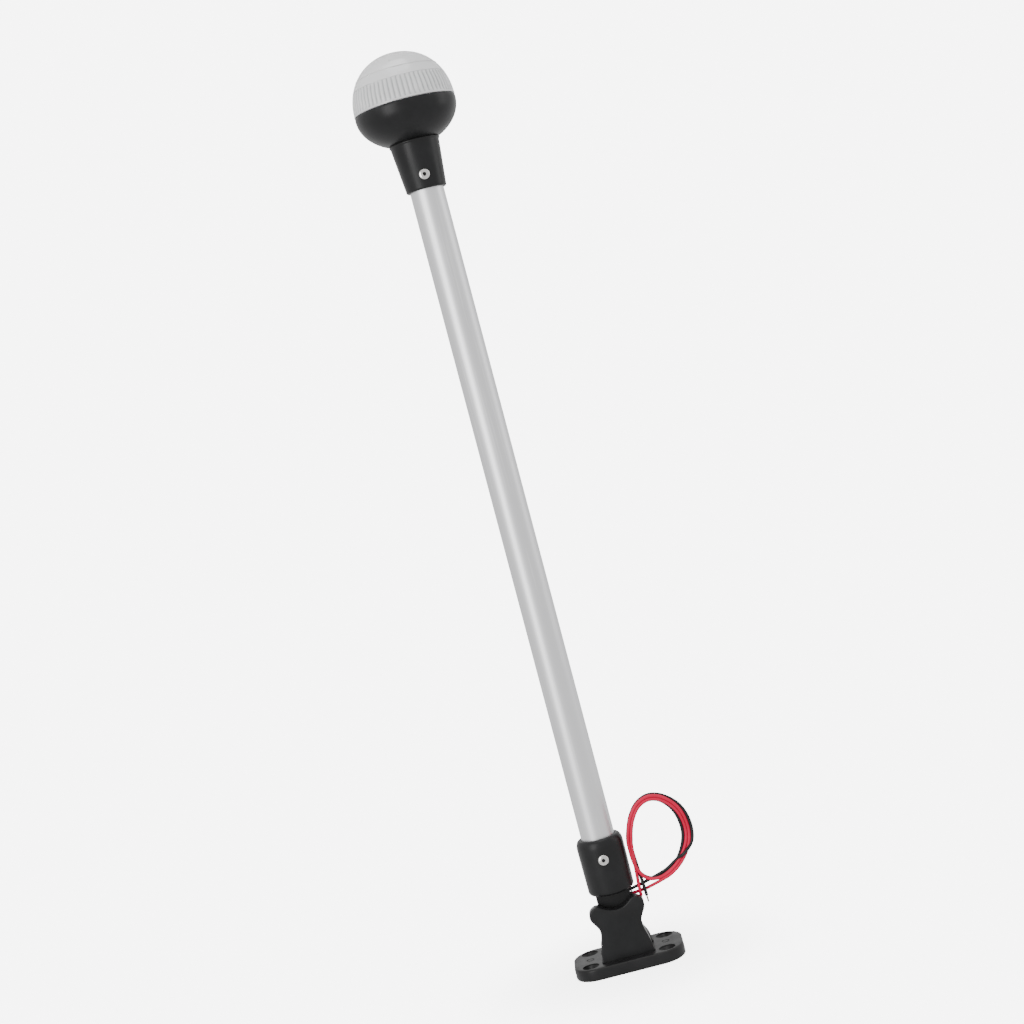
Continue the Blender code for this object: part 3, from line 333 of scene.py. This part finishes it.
BLACK = plastic("black_sheath", (0.006, 0.007, 0.007), (0.014, 0.016, 0.015), 0.34, 0.46, 1500.0, 0.3)
CORE = metal("tinned_strands", (0.6, 0.5, 0.42), (0.76, 0.7, 0.64), 0.28, 0.4, (3000.0, 3000.0, 60.0))


def clear_plastic():
    """The globe: slightly frosted clear plastic."""
    clear = [("Transmission Weight", 0.42), ("IOR", 1.42), ("Coat Weight", 0.5), ("Coat Roughness", 0.08)]
    settings = [("Grain Scale", 1200.0), ("Patch Scale", 40.0)]
    return finish(
        "clear_globe",
        GRAIN,
        (0.965, 0.97, 0.975),
        (0.99, 0.99, 0.99),
        0.1,
        0.16,
        0.12,
        0.00005,
        settings,
        clear,
    )


GLOBE = clear_plastic()


# Wires


def smooth_through(points, steps):
    first = [2 * a - b for a, b in zip(points[0], points[1])]
    last = [2 * a - b for a, b in zip(points[-1], points[-2])]
    chain = [first, *points, last]
    found = []
    for four in zip(chain, chain[1:], chain[2:], chain[3:]):
        for i in range(steps):
            found.append(tuple(spline_value(*values, i / steps) for values in zip(*four)))
    return [*found, tuple(points[-1])]


def spline_value(a, b, c, d, t):
    return b + ((c - a) * t + (2 * a - 5 * b + 4 * c - d) * t**2 + (3 * b - a - 3 * c + d) * t**3) / 2


def loop_point(place_on, outer, front, crossed=0.0):
    """A point on the loop, moved outwards and to the front by one wire's place in the bundle.

    crossed, from 0 to 1, takes a wire over the others from the outer side to the inner one.
    """
    low = int(place_on) % len(LOOP)
    share = place_on - int(place_on)
    here, after = LOOP[low], LOOP[(low + 1) % len(LOOP)]
    x, y, z, thick = [a + (b - a) * share for a, b in zip(here, after)]
    spread = min(max((thick - NARROW) / (WIDE - NARROW), 0.0), 1.0)
    swing = spread * pi / 2
    away_x, away_z = x - LOOP_MIDDLE[0], z - LOOP_MIDDLE[1]
    size = hypot(away_x, away_z)
    side = STRAND_PITCH / 2 if outer > 0 else -STRAND_PITCH / 2
    outwards = outer * STRAND_PITCH / 2 if abs(outer) < 1 else side
    step = 0.0 if front else STRAND_PITCH * sin(swing) * (1 if outer > 0 else -1)
    depth = (-1 if front else 1) * STRAND_PITCH / 2 * cos(swing)
    shift = outwards + step - (2 * STRAND_PITCH + step) * crossed
    depth -= 1.5 * STRAND_PITCH * sin(pi * crossed)
    return (x + away_x / size * shift, y + depth, z + away_z / size * shift)


def wire_route(out, tail, front):
    """Out of the tang, twice round the loop against the list's order, and down the tail."""
    points = [*out]
    count = len(LOOP)
    first, turns_end = 10.0, 2 * count - 5.0
    travelled = 0.0
    while travelled <= turns_end:
        change = min(max((travelled - (count - 6)) / 4.5, 0.0), 1.0)
        outer = 1.0 - 2.0 * change
        place_on = (first - travelled) % count
        crossed = 0.0
        if not front and travelled < count / 2:
            share = min(max((place_on - CROSS_HIGH) / CROSS_LOW, 0.0), 1.0)
            crossed = share * share * (3 - 2 * share)
        points.append(loop_point(place_on, outer, front, crossed))
        travelled += 1.0
    return [*points, *tail]


def wire(name, route, finish_of, *stands_for):
    curve = bpy.data.curves.new(name, "CURVE")
    curve.dimensions = "3D"
    curve.bevel_depth = LEAD / 2
    curve.bevel_resolution = 4
    curve.use_fill_caps = True
    points = smooth_through(route, 5)
    spline = curve.splines.new("POLY")
    spline.points.add(len(points) - 1)
    for point, (x, y, z) in zip(spline.points, points):
        point.co = (x * MM, y * MM, z * MM, 1.0)
    spline.use_smooth = True
    made = bpy.data.objects.new(name, curve)
    bpy.context.scene.collection.objects.link(made)
    curve.materials.append(finish_of)
    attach(made, LIFT)
    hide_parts(*stands_for)
    return made


def bare_strands(name, tail, node_name):
    """A short twist of seven tinned strands that goes on from the end of a wire."""
    before, end = Vector(tail[-2]), Vector(tail[-1])
    along = (end - before).normalized()
    side = along.cross(Vector((0, 1, 0))).normalized()
    other = along.cross(side)
    curve = bpy.data.curves.new(name, "CURVE")
    curve.dimensions = "3D"
    curve.bevel_depth = 0.19 * MM
    curve.bevel_resolution = 2
    curve.use_fill_caps = True
    for strand in range(7):
        out = 0.0 if strand == 0 else 0.38
        length = 5.0 - 0.22 * ((strand * 3) % 5)
        spline = curve.splines.new("POLY")
        spline.points.add(12)
        for i, point in enumerate(spline.points):
            down = length * i / 12
            angle = 2 * pi * strand / 6 + 0.55 * down
            fray = out * (1 + 0.12 * max(down - 3.0, 0.0))
            spot = end + along * (down - 0.3) + side * fray * cos(angle) + other * fray * sin(angle)
            point.co = (*(spot * MM), 1.0)
    mesh_source = bpy.data.objects.new(name + "_source", curve)
    bpy.context.scene.collection.objects.link(mesh_source)
    bpy.context.view_layer.update()
    mesh = bpy.data.meshes.new_from_object(mesh_source.evaluated_get(bpy.context.evaluated_depsgraph_get()))
    bpy.data.objects.remove(mesh_source, do_unlink=True)
    mesh.materials.clear()
    return place(name, mesh, LIFT, CORE, node_name)


def make_wires():
    red_end = bare_strands("red_bare_strands", RED_TAIL, "red_wire_end")
    black_end = bare_strands("black_bare_strands", BLACK_TAIL, "black_wire_end")
    red = wire(
        "red_wire", wire_route(RED_OUT, RED_TAIL, True), RED, "red_wire_out", "wire_loop", "red_wire_tail"
    )
    black = wire(
        "black_wire", wire_route(BLACK_OUT, BLACK_TAIL, False), BLACK, "black_wire_out", "black_wire_tail"
    )


make_wires()


# Base

PLATE_LENGTH, PLATE_WIDTH, PLATE_CORNER, PLATE_TOP = 73.2, 48.0, 15.5, 8.0
SCREW_X, SCREW_Y = 25.4, 15.0
PIVOT = 24.5
SLOT_HALF, CHEEK = 5.9, 9.1
WAIST_HALF, WAIST_HEIGHT = 13.9, 28.0
HORN_HALF, HORN_ROUND = 18.4, 5.8
NEAR_HORN, FAR_HORN = 38.4, 39.6  # the middles of the horns' rounds; the near one is at -X
SADDLE = 40.0


def rounded_rectangle(length, width, corner, steps=16):
    x, y = length / 2 - corner, width / 2 - corner
    found = []
    for cx, cy, start in ((x, -y, -90), (x, y, 0), (-x, y, 90), (-x, -y, 180)):
        found += arc((cx, cy), corner, start, start + 90, steps)
    return found


def flank(low, high, low_half, high_half, steps=16):
    found = []
    for i in range(steps):
        ease = (1 - cos(pi * i / steps)) / 2
        found.append((low_half + (high_half - low_half) * ease, low + (high - low) * i / steps))
    return found


def cheek_foot(top_half, top):
    """The buried foot, a small cove where the cheek meets the plate, and the flank above it."""
    return [(17.8, 4.0), (17.8, 8.6), (17.3, 9.4), *flank(11.0, top, 16.9, top_half)]


def front_half(horn):
    """Half of the front cheek, whose horn is rounded about this height."""
    half = cheek_foot(WAIST_HALF, WAIST_HEIGHT)
    half += flank(WAIST_HEIGHT, horn, WAIST_HALF, HORN_HALF)
    half += arc((HORN_HALF - HORN_ROUND, horn), HORN_ROUND, 0, 112, 24)
    x, z = half[-1]
    left_over = [1 - i / 14 for i in range(1, 14)]
    return half + [(x * share, SADDLE + (z - SADDLE) * share**2) for share in left_over]


def front_outline():
    left = [(-across, up) for across, up in reversed(front_half(NEAR_HORN))]
    return [*front_half(FAR_HORN), (0.0, SADDLE), *left]


def rear_outline():
    right = cheek_foot(12.0, PIVOT) + arc((0.0, PIVOT), 12.0, 0, 88, 24)
    return [*right, *[(-across, up) for across, up in reversed(right)]]


def as_cutter(name, profile, x, y, steps=64):
    mesh = spun(name, profile, steps)
    made = bpy.data.objects.new(name, mesh)
    bpy.context.scene.collection.objects.link(made)
    made.matrix_world = Matrix.Translation((x * MM, y * MM, 0))
    return made


def lying_bar(name, radius, low, high, height):
    """A round cutter along Y."""
    mesh = spun(name, [(0, high), (radius, high), (radius, low), (0, low)], 48)
    mesh.transform(Matrix.Translation((0, 0, height * MM)) @ Matrix.Rotation(-pi / 2, 4, "X"))
    made = bpy.data.objects.new(name, mesh)
    bpy.context.scene.collection.objects.link(made)
    return made


def make_base():
    outline = rounded_rectangle(PLATE_LENGTH, PLATE_WIDTH, PLATE_CORNER)
    plate = bevelled(slab_object("base_moulding", outline, 0.0, PLATE_TOP, False), 1.3)
    front = bevelled(slab_object("front_cheek", front_outline(), -SLOT_HALF - CHEEK, -SLOT_HALF), 1.0)
    rear = bevelled(slab_object("rear_cheek", rear_outline(), SLOT_HALF, SLOT_HALF + CHEEK), 1.0)
    merged(plate, [front, rear], "UNION")
    cutters = [lying_bar("pin_bore", 2.72, -11.2, 16.0, PIVOT)]
    for x in (-SCREW_X, SCREW_X):
        for y in (-SCREW_Y, SCREW_Y):
            cutters.append(as_cutter("sink", [
                (0, 9), (5.7, 9), (5.7, 8.01), (5.45, 7.75), (5.4, 7.2), (2.7, 4.8), (2.7, -1), (0, -1),
            ], x, y))
        cutters.append(as_cutter("mould_ring", [(2.6, 9), (2.6, 7.7), (1.9, 7.7), (1.9, 9)], x, 0.0, 40))
    merged(plate, cutters, "DIFFERENCE")
    mesh = plate.data
    mesh.materials.clear()
    mesh.materials.append(CHARCOAL)
    mesh.shade_smooth()
    mesh.set_sharp_from_angle(angle=radians(28))
    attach(plate, "base")
    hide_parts("base_bracket")


make_base()


# Collar, tube and rivets


def shoulder(inner, top, outer, bottom, steps=14):
    found = []
    for i in range(1, steps + 1):
        angle = pi / 2 * i / steps
        found.append((inner + (outer - inner) * sin(angle), bottom + (top - bottom) * cos(angle)))
    return found


COLLAR_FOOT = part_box("lower_collar")[0][2] / MM
COLLAR_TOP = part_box("lower_collar")[1][2] / MM
TUBE_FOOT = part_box("pole_tube")[0][2] / MM
TUBE_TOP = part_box("pole_tube")[1][2] / MM
LOWER_RIVET_HEIGHT = sum(corner[2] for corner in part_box("lower_rivet")) / 2 / MM
UPPER_RIVET_HEIGHT = sum(corner[2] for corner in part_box("upper_rivet")) / 2 / MM
UPPER_RIVET_TURN = 6.0


def make_collar():
    foot, top = COLLAR_FOOT, COLLAR_TOP
    profile = [(11.2, top - 0.4), (11.5, top), (12.4, top), *shoulder(12.6, top, 15.5, top - 5.7)]
    profile += [(15.5, top - 6.6), (15.44, top - 14)]
    profile += arc((12.4, foot + 2.8), 2.8, 0, -90, 12)
    profile += [(10.2, foot), (9.9, foot + 0.3), (9.9, foot + 3.2), (11.2, foot + 3.2)]
    place("collar_moulding", spun("collar_moulding", profile), LIFT, CHARCOAL, "lower_collar")


def make_tube():
    low, high = TUBE_FOOT, TUBE_TOP
    profile = [(11.1, high), (11.1, low + 0.3), (10.8, low), (9.9, low), (9.9, high)]
    place("tube_skin", spun("tube_skin", profile), LIFT, ANODISED, "pole_tube")


def make_rivet(name, turn, height, seat, depth, stands_for):
    """A pop rivet: a low dome with a rolled brim, and the broken stem down in its middle."""
    dome = [(3.45 * sin(pi / 2 * i / 10), 0.2 + 1.05 * cos(pi / 2 * i / 10)) for i in range(4, 11)]
    profile = [(0, -3.4), (1.1, -3.4), (1.12, 0.7), (1.2, 0.95), (1.4, 1.1)]
    profile += [*dome, (3.4, 0.0), (2.0, -0.1), (2.0, -depth), (0, -depth)]
    mesh = spun(name, profile, 64)
    out = Vector((sin(radians(turn)), -cos(radians(turn)), 0))
    lay = Vector((0, 0, 1)).rotation_difference(out).to_matrix().to_4x4()
    mesh.transform(Matrix.Translation((out * seat + Vector((0, 0, height))) * MM) @ lay)
    place(name, mesh, LIFT, RIVET, stands_for)


make_collar()
make_tube()
make_rivet("lower_pop_rivet", 0.0, LOWER_RIVET_HEIGHT, 15.35, 9.6, "lower_rivet")
make_rivet("upper_pop_rivet", UPPER_RIVET_TURN, UPPER_RIVET_HEIGHT, 14.4, 5.6, "upper_rivet")


# Head

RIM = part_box("head_housing")[1][2] / MM
SOCKET_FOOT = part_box("head_housing")[0][2] / MM
LENS_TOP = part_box("globe_lens")[1][2] / MM
BOWL_MIDDLE = RIM - 1.6
BOWL_RADIUS, BOWL_DEPTH, SOCKET_TOP_RADIUS = 33.2, 24.4, 16.2
DOME_RADIUS, DOME_HEIGHT = 33.1, 34.3
DOME_FOOT = LENS_TOP - DOME_HEIGHT
FLUTE_LOW, FLUTE_HIGH = DOME_FOOT + 0.9, DOME_FOOT + 14.7
BAND_HIGH = DOME_FOOT + 21.1
FLUTES = 64
FLUTE_DEPTH = 0.85


def bowl(radius, depth, start, end, steps):
    """The lower part of an ellipse about the bowl's middle, between two radii."""
    found = []
    for i in range(steps + 1):
        across = start + (end - start) * i / steps
        found.append((across, BOWL_MIDDLE - depth * sqrt(max(1 - (across / radius) ** 2, 0.0))))
    return found


def bowl_outside():
    found = []
    widest, join = radians(89.5), asin(SOCKET_TOP_RADIUS / BOWL_RADIUS)
    for i in range(37):
        angle = widest + (join - widest) * i / 36
        found.append((BOWL_RADIUS * sin(angle), BOWL_MIDDLE - BOWL_DEPTH * cos(angle)))
    return found


def make_housing():
    outside = bowl_outside()
    join_radius, join_height = outside[-1]
    foot = SOCKET_FOOT
    bead = [(0.08, 0.2), (0.42, 0.65), (0.36, 1.2), (-0.12, 1.8)]
    cove = [(join_radius + out, join_height - down) for out, down in bead]
    profile = [(32.6, RIM), (32.95, RIM - 0.15), (33.1, RIM - 0.4), *outside, *cove]
    profile += arc((12.1, foot + 1.2), 1.2, 0, -90, 8)
    floor = TUBE_TOP + 0.3
    profile += [(11.5, foot), (11.25, foot + 0.3), (11.25, floor), (3.8, floor)]
    profile += [*bowl(29.5, 22.0, 3.8, 29.1, 24), (29.1, RIM - 5), (31.3, RIM - 5), (31.3, RIM)]
    place("housing_moulding", spun("housing_moulding", profile), LIFT, CHARCOAL, "head_housing")


def dome(radius, height, steps, fullness=2.12):
    found = []
    for i in range(steps + 1):
        angle = pi / 2 * i / steps
        reach = radius * sin(angle) ** (2 / fullness)
        found.append((reach, DOME_FOOT + height * max(cos(angle), 0.0) ** (2 / fullness)))
    found[-1] = (radius, DOME_FOOT)
    return found


def with_lines(outside):
    """The dome's outside with a fine groove at the top of the flutes and of the band."""
    found = []
    for first, second in zip(outside, outside[1:]):
        found.append(first)
        for line in (BAND_HIGH, FLUTE_HIGH):
            if first[1] > line >= second[1]:
                share = (first[1] - line) / (first[1] - second[1])
                reach = first[0] + (second[0] - first[0]) * share
                found += [(reach - 0.05, line + 0.34), (reach - 0.3, line + 0.12)]
                found += [(reach - 0.3, line - 0.12), (reach + 0.05, line - 0.34)]
    return [*found, outside[-1]]


def flute(radius, height, angle):
    """Rounded ribs round the lower band, which die out at its two edges."""
    share = (height - FLUTE_LOW) / (FLUTE_HIGH - FLUTE_LOW)
    if not 0.0 < share < 1.0 or radius < DOME_RADIUS - 1.0 - 2.8 * share:
        return 0.0
    fade = min(1.0, 9 * share, 9 * (1 - share))
    return -FLUTE_DEPTH * fade * (1 - abs(sin(FLUTES * angle / 2)))


def make_globe():
    outside = with_lines(dome(DOME_RADIUS, DOME_HEIGHT, 60))
    inside = dome(DOME_RADIUS - 2, DOME_HEIGHT - 2, 40)
    skirt = [(33.1, DOME_FOOT - 0.25), (30.95, DOME_FOOT - 0.3), (30.95, RIM - 3.4), (29.25, RIM - 3.4)]
    ring = [(29.25, DOME_FOOT), *reversed(inside[:-1])]
    bead = [(33.2, DOME_FOOT + 0.55), (33.25, DOME_FOOT + 0.2)]
    profile = [*outside[:-1], *bead, *skirt, *ring]
    mesh = spun("globe", profile, FLUTES * 8, flute, 40.0)
    with_pip(mesh)
    place("globe", mesh, LIFT, GLOBE, "globe_lens")


def with_pip(mesh):
    """The small moulding pip on the dome, a little left of the front."""
    pip = spun("pip", [(0, 0.5), (0.55, 0.4), (0.9, -0.1), (0.9, -0.8), (0, -0.8)], 24)
    out = Vector((-0.04, -0.55, 0.83)).normalized()
    lay = Vector((0, 0, 1)).rotation_difference(out).to_matrix().to_4x4()
    pip.transform(Matrix.Translation(Vector((-1.6, -22.2, LENS_TOP - 8.1)) * MM) @ lay)
    bm = bmesh.new()
    bm.from_mesh(mesh)
    bm.from_mesh(pip)
    bm.to_mesh(mesh)
    bm.free()
    bpy.data.meshes.remove(pip)


def shade_ribs(material):
    """Darkens the colour down in the grooves between the ribs, where less light gets out."""
    tree = material.node_tree
    shader = tree.nodes["Principled BSDF"]
    before = shader.inputs["Base Color"].links[0].from_socket
    spot = node(tree, "ShaderNodeTexCoord")
    axes = node(tree, "ShaderNodeSeparateXYZ")
    tree.links.new(spot.outputs["Object"], axes.inputs["Vector"])
    value = worked_out(tree, "ARCTAN2", axes.outputs["Y"], axes.outputs["X"])
    value = worked_out(tree, "MULTIPLY", value, FLUTES / 2)
    value = worked_out(tree, "ABSOLUTE", worked_out(tree, "SINE", value))
    value = worked_out(tree, "POWER", worked_out(tree, "SUBTRACT", 1.0, value), 1.6)
    above = worked_out(tree, "GREATER_THAN", axes.outputs["Z"], FLUTE_LOW * MM)
    below = worked_out(tree, "LESS_THAN", axes.outputs["Z"], FLUTE_HIGH * MM)
    value = worked_out(tree, "MULTIPLY", worked_out(tree, "MULTIPLY", above, below), value)
    shaded = node(tree, "ShaderNodeMix", data_type="RGBA")
    tree.links.new(value, shaded.inputs["Factor"])
    tree.links.new(before, shaded.inputs[6])
    shaded.inputs[7].default_value = (0.5, 0.51, 0.52, 1)
    tree.links.new(shaded.outputs[2], shader.inputs["Base Color"])


def worked_out(tree, operation, *values):
    """The output of one Math node, whose values are sockets or numbers."""
    made = node(tree, "ShaderNodeMath", operation=operation)
    for socket, value in zip(made.inputs, values):
        if isinstance(value, float):
            socket.default_value = value
        else:
            tree.links.new(value, socket)
    return made.outputs["Value"]


make_housing()
make_globe()
shade_ribs(GLOBE)


# Finishes of the pieces that stay as they are


def repaint(nodes, material):
    for name in nodes:
        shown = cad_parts[name]
        shown.data.materials.clear()
        shown.data.materials.append(material)


repaint(["tang"], SHADED)
repaint(["hinge_pin", "eye_bolt", "spring_washer", "lock_nut", "lift_spring"], STEEL)
repaint([f"board_screw_{i}" for i in (1, 2, 3)], STEEL)
repaint(["front_washer", "rear_washer"], NYLON)
repaint(["lens_seal", "lead_grommet", "exit_grommet"], RUBBER)
repaint(["led_board"], BOARD)
repaint(["led_tower", "reflector_cap"], TOWER)
repaint([f"led_{i}" for i in range(1, 7)], EMITTER)
repaint(["red_lead"], RED)
repaint(["black_lead"], BLACK)


# Floor and light

FLOOR_FADE = 0.13


def pale(name, value):
    """Pale and matt round the base, and clear further out."""
    made = bpy.data.materials.new(name)
    made.use_nodes = True
    tree = made.node_tree
    shader = tree.nodes["Principled BSDF"]
    shader.inputs["Base Color"].default_value = (value, value, value, 1)
    shader.inputs["Roughness"].default_value = 0.9
    shader.inputs["Specular IOR Level"].default_value = 0.1
    spot = node(tree, "ShaderNodeTexCoord")
    reach = node(tree, "ShaderNodeVectorMath", operation="LENGTH")
    fade = node(tree, "ShaderNodeMapRange", interpolation_type="SMOOTHSTEP")
    for label, setting in (("From Min", 0.02), ("From Max", FLOOR_FADE), ("To Min", 0.3), ("To Max", 0.0)):
        fade.inputs[label].default_value = setting
    tree.links.new(spot.outputs["Object"], reach.inputs[0])
    tree.links.new(reach.outputs["Value"], fade.inputs["Value"])
    tree.links.new(fade.outputs["Result"], shader.inputs["Alpha"])
    return made


def make_floor():
    bm = bmesh.new()
    bmesh.ops.create_grid(bm, x_segments=8, y_segments=8, size=1.2)
    floor = bpy.data.objects.new("floor", smooth_mesh("floor", bm))
    bpy.context.scene.collection.objects.link(floor)
    floor.location = (0, 0, -0.0002)
    floor.data.materials.append(pale("pale_floor", 0.9))


def softbox(name, place_at, aim, size, power):
    data = bpy.data.lights.new(name, "AREA")
    data.shape = "RECTANGLE"
    data.size, data.size_y = size
    data.energy = power
    lamp = bpy.data.objects.new(name, data)
    bpy.context.scene.collection.objects.link(lamp)
    lamp.location = place_at
    lamp.rotation_euler = (Vector(aim) - Vector(place_at)).to_track_quat("-Z", "Y").to_euler()


def make_light():
    world = bpy.data.worlds.new("studio")
    bpy.context.scene.world = world
    world.use_nodes = True
    tree = world.node_tree
    sky = tree.nodes["Background"]
    sky.inputs["Color"].default_value = (1, 1, 1, 1)
    sky.inputs["Strength"].default_value = 1.05
    backdrop = node(tree, "ShaderNodeBackground", Strength=7.0)
    backdrop.inputs["Color"].default_value = (1, 1, 1, 1)
    seen = node(tree, "ShaderNodeLightPath")
    either = node(tree, "ShaderNodeMixShader")
    tree.links.new(seen.outputs["Is Camera Ray"], either.inputs["Fac"])
    tree.links.new(sky.outputs["Background"], either.inputs[1])
    tree.links.new(backdrop.outputs["Background"], either.inputs[2])
    tree.links.new(either.outputs["Shader"], tree.nodes["World Output"].inputs["Surface"])
    softbox("left_box", (-0.9, -1.3, 0.6), (0, 0, 0.3), (0.7, 1.5), 16)
    softbox("right_box", (1.3, 0.1, 0.7), (0, 0, 0.3), (0.5, 1.2), 3)
    softbox("top_box", (0.1, -0.2, 1.9), (0, 0, 0.3), (0.9, 0.9), 8)


make_floor()
make_light()
